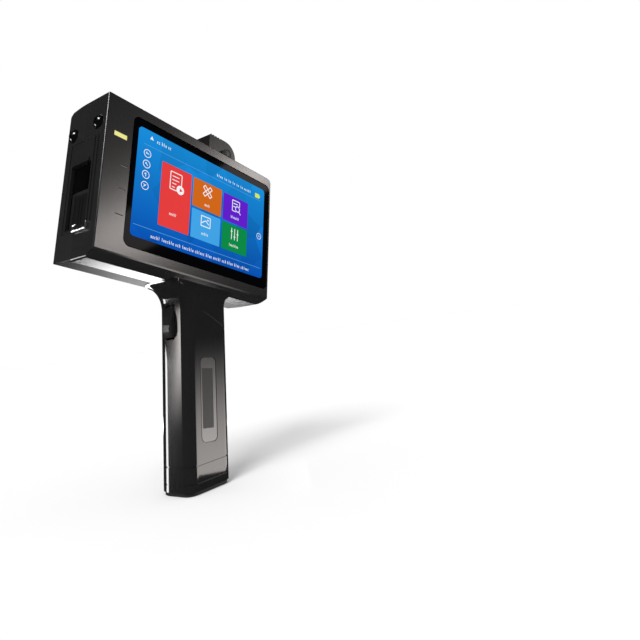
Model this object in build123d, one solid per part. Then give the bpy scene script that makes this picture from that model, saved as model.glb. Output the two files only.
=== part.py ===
"""Date code inkjet printer, pistol type, in millimetres.

The pieces are laid out in the head's own frame: X runs from the nozzle end to the
port end, Y from the screen face to the back, Z up along the head. At the end every
piece is turned and moved onto the base of the grip, which becomes the origin.
"""
import os
from math import cos, radians, sin, sqrt

from build123d import *

# ---------------------------------------------------------------- dimensions, mm
HEAD_W = 136.0            # along X
HEAD_D = 38.7             # along Y
HEAD_TOP = 90.9
HEAD_BOTTOM = -3.8
PARTING_Y = 20.0          # joint between front and rear housing
WALL = 2.0
FASCIA_T = 2.2
CORNER_R = 5.0            # port end, seen from the screen side
END_R = 1.4               # nozzle end, seen from the screen side
FRONT_R = 0.7             # edges round the screen face

GLASS = (17.0, 134.4, 6.5, 84.5)      # x0, x1, z0, z1
GLASS_T = 1.5
GLASS_FRONT = 0.3                    # the glass lies this far below the screen face
PANEL = (19.5, 131.5, 9.5, 81.5)
PANEL_T = 4.2

SLOT = (2.0, 82.6, 7.7, 33.1)         # cartridge well, x0, x1, y0, y1
BAY_FLOOR = 11.7
CART_Y = (8.2, 32.6)
CART_LID_T = 2.0

WINDOW = (8.8, 29.3, 14.6, 52.4)      # nozzle window, y0, y1, z0, z1
RECESS = (8.3, 31.6, 12.5, 66.5)

LEVER_PIVOT = (97.7, 97.4)
LEVER_R = 10.0
LEVER_Y = (9.7, 29.1)
LEVER_PIN_R = 1.5

BASE = (96.0, 19.4, -124.3)           # centre of the standing face
HEAD_TILT = 13.0                      # head against the standing face, degrees
GRIP_LEAN = 6.0                       # grip axis against the head's Z, degrees
GRIP_L = 34.5
GRIP_D = 31.5
GRIP_R = 6.5              # corners on the screen side
GRIP_BACK_R = 12.5        # corners on the palm side
GRIP_WALL = 2.4
CAP_H = 17.0
SEAM_W = 0.9              # grooves where the cap and the neck meet the grip
SEAM_T = 0.6
FOOT_T = 2.2

TRIGGER_PIVOT = (72.0, -12.5)
TRIGGER_Y = (15.8, 23.0)
TRIGGER_PIN_R = 1.25
RUN = 0.05                            # radial running clearance on pins

CELL_R = 7.0
CELL_L = 50.0
CELL_Z = 22.0

NOWHERE = 400.0


# ---------------------------------------------------------------- helpers
def box(x0, x1, y0, y1, z0, z1):
    """Block between two corners."""
    centre = Pos((x0 + x1) / 2, (y0 + y1) / 2, (z0 + z1) / 2)
    return centre * Box(x1 - x0, y1 - y0, z1 - z0)


def rod_x(r, y, z, x0, x1):
    return Pos((x0 + x1) / 2, y, z) * Rot(0, 90, 0) * Cylinder(r, x1 - x0)


def rod_y(r, x, z, y0, y1):
    return Pos(x, (y0 + y1) / 2, z) * Rot(90, 0, 0) * Cylinder(r, y1 - y0)


def rod_z(r, x, y, z0, z1):
    return Pos(x, y, (z0 + z1) / 2) * Cylinder(r, z1 - z0)


def prism_y(points, y0, y1):
    """Closed X-Z outline pushed along Y."""
    plane = Plane((0, y0, 0), x_dir=(1, 0, 0), z_dir=(0, -1, 0))
    return extrude(plane * make_face(Polyline(*points, close=True)), -(y1 - y0))


def prism_x(points, x0, x1):
    """Closed Y-Z outline pushed along X."""
    plane = Plane((x0, 0, 0), x_dir=(0, 1, 0), z_dir=(1, 0, 0))
    return extrude(plane * make_face(Polyline(*points, close=True)), x1 - x0)


def slab_y(x0, x1, z0, z1, r, y0, y1):
    """Round-cornered plate facing along Y."""
    plane = Plane(((x0 + x1) / 2, y0, (z0 + z1) / 2), x_dir=(1, 0, 0), z_dir=(0, -1, 0))
    return extrude(plane * RectangleRounded(x1 - x0, z1 - z0, r), -(y1 - y0))


def slab_z(x0, x1, y0, y1, r, z0, z1):
    """Round-cornered plate facing along Z."""
    outline = RectangleRounded(x1 - x0, y1 - y0, r)
    return extrude(Pos((x0 + x1) / 2, (y0 + y1) / 2, z0) * outline, z1 - z0)


def one(shape):
    """The single solid of a shape made by a boolean."""
    solids = shape.solids()
    assert len(solids) == 1, f"{len(solids)} solids where one was expected"
    return solids[0]


# frames on the grip
GRIP = Pos(*BASE) * Rot(0, -GRIP_LEAN, 0)
FLOOR = Pos(*BASE) * Rot(0, -HEAD_TILT, 0)
NECK_SEAM = Pos(82.5, BASE[1], -19.5) * Rot(0, 20.8, 0)


def grip_section(inset, length=GRIP_L):
    """Grip section, shrunk by inset: tight corners at the screen side, wide ones at the palm."""
    outline = Rectangle(length - 2 * inset, GRIP_D - 2 * inset)
    rows = outline.vertices().group_by(Axis.Y)
    outline = fillet(rows[0], GRIP_R - inset)
    rows = outline.vertices().group_by(Axis.Y)
    return fillet(rows[-1], GRIP_BACK_R - inset)


def grip_prism(inset, z0, z1):
    """The grip's section between two heights on the grip axis."""
    return GRIP * extrude(Pos(0, 0, z0) * grip_section(inset), z1 - z0)


def grip_groove(depth):
    """What a groove of that depth takes off all round the grip."""
    return grip_prism(-1, -20, 130) - grip_prism(depth, -20, 130)


def above_floor(height):
    """Everything higher than this above the standing face."""
    return FLOOR * box(-NOWHERE, NOWHERE, -NOWHERE, NOWHERE, height, NOWHERE)


def below_floor(height):
    return FLOOR * box(-NOWHERE, NOWHERE, -NOWHERE, NOWHERE, -NOWHERE, height)


def above_seam(gap=0.0):
    return NECK_SEAM * box(-NOWHERE, NOWHERE, -NOWHERE, NOWHERE, gap, NOWHERE)


def below_seam():
    return NECK_SEAM * box(-NOWHERE, NOWHERE, -NOWHERE, NOWHERE, -NOWHERE, 0)


# ---------------------------------------------------------------- head shell
OUTER = [
    (0.0, 0.9), (0.7, 0.1), (7.2, HEAD_BOTTOM), (20.0, HEAD_BOTTOM), (37.0, -2.4), (38.2, -1.2),
    (HEAD_D, 1.6), (HEAD_D, 81.5), (38.0, 84.7), (36.7, 86.6), (33.8, 88.8),
    (19.0, HEAD_TOP), (0.9, HEAD_TOP), (0.0, HEAD_TOP - 0.9),
]
INNER = [
    (FASCIA_T, 1.8), (7.6, HEAD_BOTTOM + WALL), (20.0, HEAD_BOTTOM + WALL), (35.9, -0.3),
    (HEAD_D - WALL, 1.8), (HEAD_D - WALL, 81.5), (35.6, 84.6), (33.0, 86.8),
    (19.0, HEAD_TOP - WALL), (FASCIA_T, HEAD_TOP - WALL),
]


def head_outer():
    bar = prism_x(OUTER, 0, HEAD_W)
    z_mid = (HEAD_TOP + HEAD_BOTTOM) / 2
    face = Plane((0, -1, 0), x_dir=(1, 0, 0), z_dir=(0, -1, 0))
    square = Pos(HEAD_W / 4, z_mid) * RectangleRounded(
        HEAD_W / 2, HEAD_TOP - HEAD_BOTTOM, END_R)
    rounded = Pos(HEAD_W / 2, z_mid) * RectangleRounded(
        HEAD_W, HEAD_TOP - HEAD_BOTTOM, CORNER_R)
    front_view = extrude(face * (square + rounded), -(HEAD_D + 2))
    plan = slab_z(0, HEAD_W, -20, HEAD_D, 3.0, HEAD_BOTTOM - 5, HEAD_TOP + 5)
    front = slab_z(0, HEAD_W, 0, HEAD_D + 20, FRONT_R, HEAD_BOTTOM - 5, HEAD_TOP + 5)
    return bar & front_view & plan & front


def head_inner():
    bar = prism_x(INNER, WALL, HEAD_W - WALL)
    return bar & slab_y(-10, HEAD_W - WALL, HEAD_BOTTOM + WALL, HEAD_TOP - WALL,
                        CORNER_R - WALL, 0, HEAD_D)


SCREW_XZ = [(8.0, 2.5), (60.0, 2.5), (128.0, 2.5), (128.0, 81.5)]
BOARD_XZ = [(94.0, 13.0), (94.0, 73.5), (118.0, 13.0), (118.0, 73.5)]
NECK_XY = [(72.0, 10.6), (72.0, 29.8)]
NECK_BOSS = -0.4
GUIDE_YZ = [(7.7, 74.3), (31.1, 72.8)]
MARKS = [(11.0, 15.4, 51.0), (11.0, 15.4, 36.9), (10.6, 15.4, 22.3)]
WIRE_R = 0.65
WIRE_YZ = (7.6, 15.6)
LED = (5.3, 13.7, 66.4, 69.4)
BUTTON_YZ = (26.0, 70.0)
BRACKET = (85.6, 110.4, 6.6, 32.2)    # x0, x1, y0, y1


def head_cuts():
    """Openings shared by both halves of the head shell."""
    cuts = [
        box(SLOT[0], SLOT[1], SLOT[2], SLOT[3], 60, HEAD_TOP + 5),
        box(-1, WALL + 1, WINDOW[0], WINDOW[1], WINDOW[2], WINDOW[3]),
        box(-1, 1.0, *RECESS),
        box(*BRACKET, 82, HEAD_TOP + 5),
        box(79, 91, 13, 26, HEAD_BOTTOM - 1, HEAD_BOTTOM + WALL + 0.5),
    ]
    for x, z in SCREW_XZ:
        cuts.append(rod_y(1.55, x, z, 13.5, HEAD_D + 1))
        cuts.append(rod_y(3.0, x, z, 37.3, HEAD_D + 1))
    for x, y in NECK_XY:
        cuts.append(rod_z(1.3, x, y, -8, 0))
    for y, z in GUIDE_YZ:
        cuts.append(rod_x(1.3, y, z, -1, WALL + 3))
        cuts.append(rod_x(4.35, y, z, -1, 0.7))
    return cuts


def make_front_housing():
    shell = head_outer() - head_inner()
    for x, z in SCREW_XZ:
        foot = HEAD_BOTTOM + 1 if z < 40 else HEAD_TOP - 1
        shell += rod_y(4.0, x, z, 6.6, PARTING_Y)
        shell += box(x - 1.5, x + 1.5, 6.6, PARTING_Y, min(z, foot), max(z, foot))
    body = shell & box(-NOWHERE, NOWHERE, -NOWHERE, PARTING_Y, -NOWHERE, NOWHERE)
    body += box(-0.5, 0.2, 5.4, 6.4, 16.0, 66.0)
    body -= slab_y(GLASS[0] - 0.15, GLASS[1] + 0.15, GLASS[2] - 0.15, GLASS[3] + 0.15,
                   4.4, -1, GLASS_T)
    body -= slab_y(*PANEL, 0.2, -1, FASCIA_T + 4)
    body -= box(LED[0], LED[1], -1, 1.4, LED[2], LED[3])
    body -= rod_x(WIRE_R, WIRE_YZ[0], WIRE_YZ[1], -1, 1.4)
    for x0, x1, z in MARKS:
        body -= box(x0, x1, -1, 1.2, z - 0.4, z + 0.4)
    for cut in head_cuts():
        body -= cut
    return one(body)


def make_rear_housing():
    shell = head_outer() - head_inner()
    for x, z in SCREW_XZ:
        shell += rod_y(3.6, x, z, PARTING_Y, HEAD_D - WALL + 0.5)
    for x, z in BOARD_XZ:
        shell += rod_y(3.0, x, z, 32.6, HEAD_D - WALL + 0.5)
    shell += rod_z(4.0, *NECK_XY[1], -2.2, NECK_BOSS)
    body = shell & box(-NOWHERE, NOWHERE, PARTING_Y, NOWHERE, -NOWHERE, NOWHERE)
    for x, z in BOARD_XZ:
        body -= rod_y(1.25, x, z, 30, 36.4)
    for cut in head_cuts():
        body -= cut
    body -= rod_x(5.3, *BUTTON_YZ, HEAD_W - WALL - 1, HEAD_W + 1)
    body -= box(HEAD_W - WALL - 1, HEAD_W + 1, 23.6, 31.0, 38.0, 53.0)
    body -= rod_x(4.0, 26.0, 22.0, HEAD_W - WALL - 1, HEAD_W + 1)
    for i in range(6):
        z = 30.0 + 5.0 * i
        body -= box(100, 122, HEAD_D - WALL - 1, HEAD_D + 1, z, z + 2.0)
    return one(body)


def make_touch_glass():
    plate = slab_y(*GLASS, 4.25, GLASS_FRONT, GLASS_T)
    return one(chamfer(plate.faces().sort_by(Axis.Y)[0].edges(), 0.35))


def make_display_panel():
    back = box(PANEL[0] + 0.2, PANEL[1] - 0.2, GLASS_T, GLASS_T + PANEL_T,
               PANEL[2] + 0.2, PANEL[3] - 0.2)
    lip = box(PANEL[0] + 6, PANEL[1] - 6, GLASS_T + PANEL_T, GLASS_T + PANEL_T + 0.6,
              PANEL[2] + 6, PANEL[3] - 6)
    return one(back + lip)


def make_status_led():
    return one(box(LED[0], LED[1], 0.15, 1.4, LED[2], LED[3]))


def make_side_marks():
    return [one(box(x0, x1, 0.1, 1.2, z - 0.4, z + 0.4)) for x0, x1, z in MARKS]


def make_rear_screws():
    screws = []
    for x, z in SCREW_XZ:
        head = rod_y(2.8, x, z, 37.3, 38.4) - box(x - 1.8, x + 1.8, 37.9, 39, z - 0.4, z + 0.4)
        head -= box(x - 0.4, x + 0.4, 37.9, 39, z - 1.8, z + 1.8)
        screws.append(one(head + rod_y(1.5, x, z, 14.0, 37.3)))
    return screws


# ---------------------------------------------------------------- nozzle end
def make_guide_plate():
    """Plate round the nozzle window, with its lip and one rail."""
    y0, y1, z0, z1 = RECESS
    plate = box(0.3, 1.0, y0 + 0.1, y1 - 0.1, z0 + 0.1, z1 - 0.1)
    plate += box(-0.6, 0.8, 12.3, 28.9, 52.4, 54.3)
    plate += box(-0.4, 0.8, 8.5, 9.7, 16.0, z1 - 0.1)
    plate -= box(-2, 3, WINDOW[0] + 1.0, WINDOW[1], WINDOW[2], WINDOW[3])
    return one(plate)


def make_guide_screws():
    """Two domed screws beside the guide plate."""
    screws = []
    for y, z in GUIDE_YZ:
        dome = Pos(1.55, y, z) * Sphere(4.0) & rod_x(3.9, y, z, -2.4, 0.7)
        dome -= box(-3, -1.75, y - 2.2, y + 2.2, z - 0.35, z + 0.35)
        dome -= box(-3, -1.75, y - 0.35, y + 0.35, z - 2.2, z + 2.2)
        screws.append(one(dome + rod_x(1.25, y, z, 0.6, WALL)))
    return screws


def make_wire_latch():
    """Bent chrome wire at the foot of the window."""
    r = WIRE_R
    y, z = WIRE_YZ
    points = [(1.4, y, z), (-0.9, y, z), (-0.9, y, z - 3.2), (-0.9, y + 12.0, z - 3.2),
              (-0.9, y + 12.0, z), (-0.9, y + 9.8, z)]
    wire = None
    for (xa, ya, za), (xb, yb, zb) in zip(points, points[1:]):
        if xa != xb:
            leg = rod_x(r, ya, za, min(xa, xb), max(xa, xb))
        elif ya != yb:
            leg = rod_y(r, xa, za, min(ya, yb), max(ya, yb))
        else:
            leg = rod_z(r, xa, ya, min(za, zb), max(za, zb))
        wire = leg if wire is None else wire + leg
        wire += Pos(xb, yb, zb) * Sphere(r)
    return one(wire)


# ---------------------------------------------------------------- inside the head
CONTACT = (4.0, 22.0, 10.5, 30.3)     # x0, x1, y0, y1


def make_carriage():
    """Open-topped well that guides the cartridge."""
    x0, x1, y0, y1 = SLOT
    well = box(x0, x1 + 2.0, y0 - 1.0, y1 + 1.0, BAY_FLOOR - 2.0, 85.4)
    well -= box(x0 - 1, x1 + 0.4, y0, y1, BAY_FLOOR, 90)
    well -= box(*CONTACT, BAY_FLOOR - 3, BAY_FLOOR + 1)
    return one(well)


def make_contact_block():
    block = box(*CONTACT, 7.2, BAY_FLOOR - 0.2)
    foot = box(14.0, CONTACT[1], CONTACT[2], PARTING_Y - 0.1, HEAD_BOTTOM + WALL, 7.2)
    return one(block + foot)


def make_contact_pins():
    pins = []
    for i in range(2):
        for j in range(6):
            x = 9.0 + 7.0 * i
            y = 12.9 + 3.0 * j
            pins.append(one(rod_z(0.5, x, y, BAY_FLOOR - 0.2, BAY_FLOOR + 0.1)))
    return pins


def make_mainboard():
    board = box(90.0, 131.5, 31.0, 32.6, 9.0, 77.0)
    for x, z in BOARD_XZ:
        board -= rod_y(1.4, x, z, 30, 34)
    for x0, x1, z0, z1, t in [(98, 112, 42, 56, 1.6), (100, 110, 24, 32, 1.2),
                              (96, 104, 61, 69, 2.2), (108, 114, 61, 67, 3.0)]:
        board += box(x0, x1, 31.0 - t, 31.0, z0, z1)
    return one(board)


def make_board_screws():
    screws = []
    for x, z in BOARD_XZ:
        screws.append(one(rod_y(2.4, x, z, 29.6, 31.0) + rod_y(1.2, x, z, 31.0, 36.0)))
    return screws


def make_usb_port():
    shell = box(121.5, 135.8, 23.8, 30.9, 38.3, 52.7)
    shell -= box(123.0, 136.5, 24.3, 30.4, 38.8, 52.2)
    shell += box(122.8, 134.8, 25.2, 27.0, 40.4, 50.6)
    return one(shell)


def make_dc_jack():
    block = box(121.5, 133.9, 20.9, 31.0, 17.5, 26.5)
    nose = rod_x(3.9, 26.0, 22.0, 133.9, 135.8)
    jack = block + nose - rod_x(2.9, 26.0, 22.0, 124.5, 137)
    return one(jack + rod_x(0.95, 26.0, 22.0, 124.0, 134.8))


def make_power_switch():
    return one(box(123.0, 129.6, 22.0, 31.0, 66.0, 74.0)
               + rod_x(1.6, *BUTTON_YZ, 129.6, 130.8))


def make_power_button():
    y, z = BUTTON_YZ
    cap = rod_x(4.95, y, z, 133.6, 137.4)
    cap = chamfer(cap.faces().sort_by(Axis.X)[-1].edges(), 0.6)
    return one(cap + rod_x(6.2, y, z, 132.6, 133.6))


def make_lever_bracket():
    """Pocket with two ears for the lever's pin."""
    x0, x1, y0, y1 = BRACKET
    px, pz = LEVER_PIVOT
    tray = box(x0 + 0.1, x1 - 0.1, y0 + 0.1, y1 - 0.1, 84.9, 86.8)
    tray += box(x0 + 0.1, x1 - 0.1, 3.6, y0 + 0.2, 86.0, HEAD_TOP - WALL)
    tray += box(x0 + 0.1, x1 - 0.1, y0 + 0.1, y0 + 0.5, 84.9, HEAD_TOP - WALL)
    for ya, yb in [(y0 + 0.1, LEVER_Y[0] - 0.4), (LEVER_Y[1] + 0.4, y1 - 0.1)]:
        ear = box(px - 3.2, px + 3.2, ya, yb, 86.0, pz)
        tray += ear + rod_y(3.2, px, pz, ya, yb)
    tray -= rod_y(LEVER_PIN_R, px, pz, 0, 40)
    return one(tray)


def make_lever_pin():
    return one(rod_y(LEVER_PIN_R, *LEVER_PIVOT, BRACKET[2] + 0.1, BRACKET[3] - 0.1))


def make_lock_lever():
    """Cam barrel with a finger block on its nozzle side."""
    px, pz = LEVER_PIVOT
    block = prism_y([(82.8, 95.2), (85.9, 92.1), (88.6, 91.8), (px, pz - 4), (px, pz + LEVER_R),
                     (84.0, pz + LEVER_R), (82.8, pz + LEVER_R - 1.2)], *LEVER_Y)
    lever = block + rod_y(LEVER_R, px, pz, *LEVER_Y)
    for i in range(4):
        x = 84.6 + 2.4 * i
        lever -= box(x, x + 1.0, LEVER_Y[0] - 1, LEVER_Y[1] + 1, pz + LEVER_R - 0.5, pz + 20)
    lever -= rod_y(LEVER_PIN_R + RUN, px, pz, 0, 40)
    return one(lever)


# ---------------------------------------------------------------- cartridge
def cartridge_outline():
    arc = [(30.0 - 16.0 * cos(radians(a)), 60.0 + 16.0 * sin(radians(a))) for a in range(0, 91, 10)]
    points = [(2.6, 12.0), (2.6, 37.4), (8.0, 39.4), (14.0, 40.2)] + arc
    points += [(66.0, 76.0), (69.6, 78.6), (75.6, 93.6), (77.0, 95.4), (80.6, 95.4),
               (82.0, 94.0), (82.0, 12.0)]
    return points


def make_cartridge_body():
    shell = prism_y(cartridge_outline(), CART_Y[0], CART_Y[1] - CART_LID_T)
    shell -= box(2.0, 3.0, 12.5, 26.5, 15.0, 35.0)
    shell -= box(5.0, 21.0, 11.5, 29.3, 11.0, 12.3)
    shell -= box(20.0, 70.0, CART_Y[0] - 1, CART_Y[0] + 0.4, 20.0, 66.0)
    for i in range(5):
        z = 79.0 + 3.0 * i
        shell -= box(81.4, 83.0, 10.0, 30.0, z, z + 1.2)
    return one(shell)


def make_cartridge_lid():
    return one(prism_y(cartridge_outline(), CART_Y[1] - CART_LID_T, CART_Y[1]))


def make_nozzle_plate():
    plate = box(2.3, 3.0, 12.5, 26.5, 15.0, 35.0)
    for y in (18.2, 20.8):
        plate -= box(2.0, 2.5, y - 0.35, y + 0.35, 17.5, 32.5)
    return one(plate)


def make_cartridge_contacts():
    return one(box(5.0, 21.0, 11.5, 29.3, 12.0, 12.3))


# ---------------------------------------------------------------- neck and grip
TRIGGER_SLOTS = [(54.0, 78.0, -36.4, -15.0), (67.8, 78.0, -15.0, -8.9)]
FLARE_FRONT = (53.5, -17.5, 13.7)     # centre x, z and radius of the sweep into the head
FLARE_BACK = (110.0, -11.5, 8.5)
FLARE_HEIGHTS = [-17.5, -14.5, -11.5, -9.0, -7.0, -5.6, -4.6, -3.8]


def trigger_slots():
    """Way for the trigger's blade, and above it the hidden way for its hub."""
    y0, y1 = TRIGGER_Y[0] - 0.35, TRIGGER_Y[1] + 0.35
    return [box(x0, x1, y0, y1, z0, z1) for x0, x1, z0, z1 in TRIGGER_SLOTS]


def neck_flare():
    """Neck between grip and head, swept outwards in a quarter circle at the front and back."""
    xf, zf, rf = FLARE_FRONT
    xb, zb, rb = FLARE_BACK
    sections = []
    for z in FLARE_HEIGHTS:
        x0 = xf + sqrt(rf ** 2 - (z - zf) ** 2)
        x1 = xb - sqrt(rb ** 2 - max(0.0, z - zb) ** 2)
        sections.append(Pos((x0 + x1) / 2, BASE[1], z) * grip_section(0, x1 - x0))
    flare = loft(sections)
    return flare + extrude(sections[-1], 3.0)


def make_neck_collar():
    block = grip_prism(0, 80, 126)
    block &= above_seam()
    block -= (grip_groove(SEAM_T) & above_seam()) - above_seam(SEAM_W)
    block += neck_flare() & above_seam()
    block -= head_outer()
    block &= box(0, 200, -10, 60, -60, 30)
    cavity = grip_prism(GRIP_WALL + 0.6, 80, 130)
    block -= cavity & box(78.5, 200, -10, 60, -60, 30)
    for slot in trigger_slots():
        block -= slot
    block -= rod_y(TRIGGER_PIN_R, *TRIGGER_PIVOT, 8.0, 31.0)
    for x, y in NECK_XY:
        block -= rod_z(1.3, x, y, -10.5, 0)
    solids = block.solids().sort_by(SortBy.VOLUME)
    return solids[-1]


def make_neck_screws():
    screws = []
    for (x, y), seat in zip(NECK_XY, (HEAD_BOTTOM + WALL, NECK_BOSS)):
        screws.append(one(rod_z(2.5, x, y, seat, seat + 1.8) + rod_z(1.25, x, y, -10.0, seat)))
    return screws


GRIP_SCREW_XZ = [(3.5, 88.5), (3.5, 96.5)]
INLAY = (-7.6, 4.6, 28.2, 78.4)       # x0, x1, z0, z1 in the grip frame
INLAY_GAP = 0.45                      # groove round the inlay
PAD = (-6.7, 2.1, 36.0, 72.0)


def grip_shell():
    shell = grip_prism(0, 0, 125) - grip_prism(GRIP_WALL, -5, 130)
    shell &= above_floor(CAP_H)
    shell &= below_seam()
    for slot in trigger_slots():
        shell -= slot
    return shell


def make_grip_front():
    half = grip_shell() & box(-NOWHERE, NOWHERE, -NOWHERE, BASE[1], -NOWHERE, NOWHERE)
    face = -GRIP_D / 2
    for x, z in GRIP_SCREW_XZ:
        half += GRIP * rod_y(3.2, x, z, face + 1.5, 0)
        half -= GRIP * rod_y(1.25, x, z, -9.0, 1)
    half -= GRIP * slab_y(INLAY[0] - INLAY_GAP, INLAY[1] + INLAY_GAP, INLAY[2] - INLAY_GAP,
                          INLAY[3] + INLAY_GAP, 3.0 + INLAY_GAP, face - 1, face + 1.1)
    return one(half)


def make_grip_back():
    half = grip_shell() & box(-NOWHERE, NOWHERE, BASE[1], NOWHERE, -NOWHERE, NOWHERE)
    back = GRIP_D / 2
    for x, z in GRIP_SCREW_XZ:
        half += GRIP * rod_y(3.2, x, z, 0, back - 1.5)
        half -= GRIP * rod_y(1.25, x, z, -1, back)
        half -= GRIP * rod_y(2.6, x, z, back - 1.6, back + 1)
    half += box(77.5, 81.5, 22.8, BASE[1] + back - GRIP_WALL + 0.4, -31.0, -20.5)
    return one(half)


def make_grip_screws():
    back = GRIP_D / 2
    screws = []
    for x, z in GRIP_SCREW_XZ:
        screw = rod_y(2.4, x, z, back - 1.6, back - 0.3) + rod_y(1.2, x, z, -8.5, back - 1.6)
        screw -= box(x - 1.5, x + 1.5, back - 0.8, back + 1, z - 0.35, z + 0.35)
        screws.append(one(GRIP * screw))
    return screws


def make_grip_inlay():
    face = -GRIP_D / 2
    plate = slab_y(*INLAY, 3.0, face + 0.1, face + 1.1)
    plate -= slab_y(*PAD, 0.6, face - 1, face + 0.6)
    return one(GRIP * plate)


def make_grip_pad():
    face = -GRIP_D / 2
    x0, x1, z0, z1 = PAD
    pad = slab_y(x0 + 0.15, x1 - 0.15, z0 + 0.15, z1 - 0.15, 0.5, face + 0.2, face + 0.6)
    return one(GRIP * pad)


# ---------------------------------------------------------------- trigger
def make_trigger():
    px, pz = TRIGGER_PIVOT
    outline = [(70.2, -10.2), (69.0, -14.2), (66.9, -16.2), (65.7, -19.0), (65.0, -22.5),
               (65.0, -28.0), (65.5, -32.2), (66.6, -34.4), (68.0, -35.4), (69.6, -35.0),
               (70.6, -33.4), (71.0, -30.0), (71.2, -27.4), (72.4, -27.0), (72.4, -24.6),
               (72.2, -23.6), (73.6, -17.0), (74.6, -13.5), (73.0, -10.0)]
    lever = prism_y(outline, *TRIGGER_Y)
    lever = chamfer(lever.faces().sort_by(Axis.Y)[0].edges(), 0.9)
    lever = chamfer(lever.faces().sort_by(Axis.Y)[-1].edges(), 0.9)
    lever += rod_y(3.0, px, pz, *TRIGGER_Y)
    lever -= rod_y(3.7, px, pz, 17.2, 21.6)
    lever -= rod_y(TRIGGER_PIN_R + RUN, px, pz, 0, 40)
    return one(lever)


def make_trigger_pin():
    return one(rod_y(TRIGGER_PIN_R, *TRIGGER_PIVOT, 8.2, 30.8))


def make_trigger_spring():
    """Return coil round the trigger's pin."""
    px, pz = TRIGGER_PIVOT
    path = Helix(pitch=0.85, height=2.9, radius=2.2)
    section = Plane(path @ 0, z_dir=path % 0) * Circle(0.33)
    coil = sweep(section, path=path)
    return one(Pos(px, 20.85, pz) * Rot(90, 0, 0) * coil)


def make_trigger_switch():
    body = box(76.4, 81.8, 15.8, 22.8, -31.0, -20.5)
    return one(body + box(75.0, 76.4, 17.6, 21.0, -27.2, -24.4))


# ---------------------------------------------------------------- battery and base
def make_battery_cap():
    cap = grip_prism(0, -6, 40) & above_floor(FOOT_T) & below_floor(CAP_H - 0.05)
    cap += grip_prism(GRIP_WALL + 0.4, 4, CELL_Z - 2.0) & above_floor(FOOT_T + 2)
    cap -= grip_prism(GRIP_WALL + 2.4, 6.0, 40)
    cap -= grip_groove(0.35) & above_floor(6.4) & below_floor(6.9)
    cap -= grip_groove(SEAM_T) & above_floor(CAP_H - SEAM_W) & below_floor(CAP_H)
    return one(cap)


def make_foot_pad():
    pad = grip_prism(1.0, -8, 20) & above_floor(0) & below_floor(FOOT_T)
    return one(pad)


def make_battery_cells():
    cells = []
    for x in (-CELL_R - 0.1, CELL_R + 0.1):
        cells.append(one(GRIP * rod_z(CELL_R, x, -1.0, CELL_Z, CELL_Z + CELL_L)))
    return cells


def make_battery_cage():
    top = CELL_Z + CELL_L
    cage = box(-13.8, 13.8, -9.4, 8.0, CELL_Z - 2.0, CELL_Z)
    cage += box(-13.8, 13.8, -8.0, 8.0, top, top + 1.6)
    cage += box(-9.0, 9.0, 6.2, 8.0, CELL_Z - 1, top + 1)
    return one(GRIP * cage & grip_prism(GRIP_WALL + 0.5, 0, top + 5))


def make_battery_contacts():
    base = CELL_Z + CELL_L + 4.2
    plate = box(-8.0, 8.0, -9.0, GRIP_D / 2 - GRIP_WALL, base, base + 1.6)
    for x in (-4.0, 4.0):
        plate += rod_z(1.2, x, -2.0, base - 2.1, base + 0.4)
    return one(GRIP * plate & grip_prism(GRIP_WALL, 0, base + 5))


# ---------------------------------------------------------------- export
PIECES = {
    "front_housing": make_front_housing,
    "rear_housing": make_rear_housing,
    "touch_glass": make_touch_glass,
    "display_panel": make_display_panel,
    "status_led": make_status_led,
    "side_marks": make_side_marks,
    "rear_screws": make_rear_screws,
    "guide_plate": make_guide_plate,
    "guide_screws": make_guide_screws,
    "wire_latch": make_wire_latch,
    "cartridge_carriage": make_carriage,
    "contact_block": make_contact_block,
    "contact_pins": make_contact_pins,
    "mainboard": make_mainboard,
    "board_screws": make_board_screws,
    "usb_port": make_usb_port,
    "dc_jack": make_dc_jack,
    "power_switch": make_power_switch,
    "power_button": make_power_button,
    "lever_bracket": make_lever_bracket,
    "lever_pin": make_lever_pin,
    "lock_lever": make_lock_lever,
    "cartridge_body": make_cartridge_body,
    "cartridge_lid": make_cartridge_lid,
    "nozzle_plate": make_nozzle_plate,
    "cartridge_contacts": make_cartridge_contacts,
    "neck_collar": make_neck_collar,
    "neck_screws": make_neck_screws,
    "grip_front": make_grip_front,
    "grip_back": make_grip_back,
    "grip_screws": make_grip_screws,
    "grip_inlay": make_grip_inlay,
    "grip_pad": make_grip_pad,
    "trigger": make_trigger,
    "trigger_pin": make_trigger_pin,
    "trigger_spring": make_trigger_spring,
    "trigger_switch": make_trigger_switch,
    "battery_cap": make_battery_cap,
    "foot_pad": make_foot_pad,
    "battery_cells": make_battery_cells,
    "battery_cage": make_battery_cage,
    "battery_contacts": make_battery_contacts,
}


def main():
    os.makedirs("parts", exist_ok=True)
    onto_base = Rot(0, HEAD_TILT, 0) * Pos(-BASE[0], -BASE[1], -BASE[2])
    for name, make in PIECES.items():
        made = make()
        solids = made if isinstance(made, list) else [made]
        placed = [onto_base * solid for solid in solids]
        shape = placed[0] if len(placed) == 1 else Compound(children=placed)
        shape.label = name
        export_step(shape, f"parts/{name}.step")
        box_ = shape.bounding_box()
        print(f"{name:20s} solids {len(placed)}  volume {sum(s.volume for s in placed):9.1f}"
              f"  z {box_.min.Z:7.2f} to {box_.max.Z:7.2f}")


if __name__ == "__main__":
    main()
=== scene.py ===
"""Handheld date code printer: finishes, screen picture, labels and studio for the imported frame."""
import math

import bpy
from mathutils import Matrix, Vector


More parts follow.
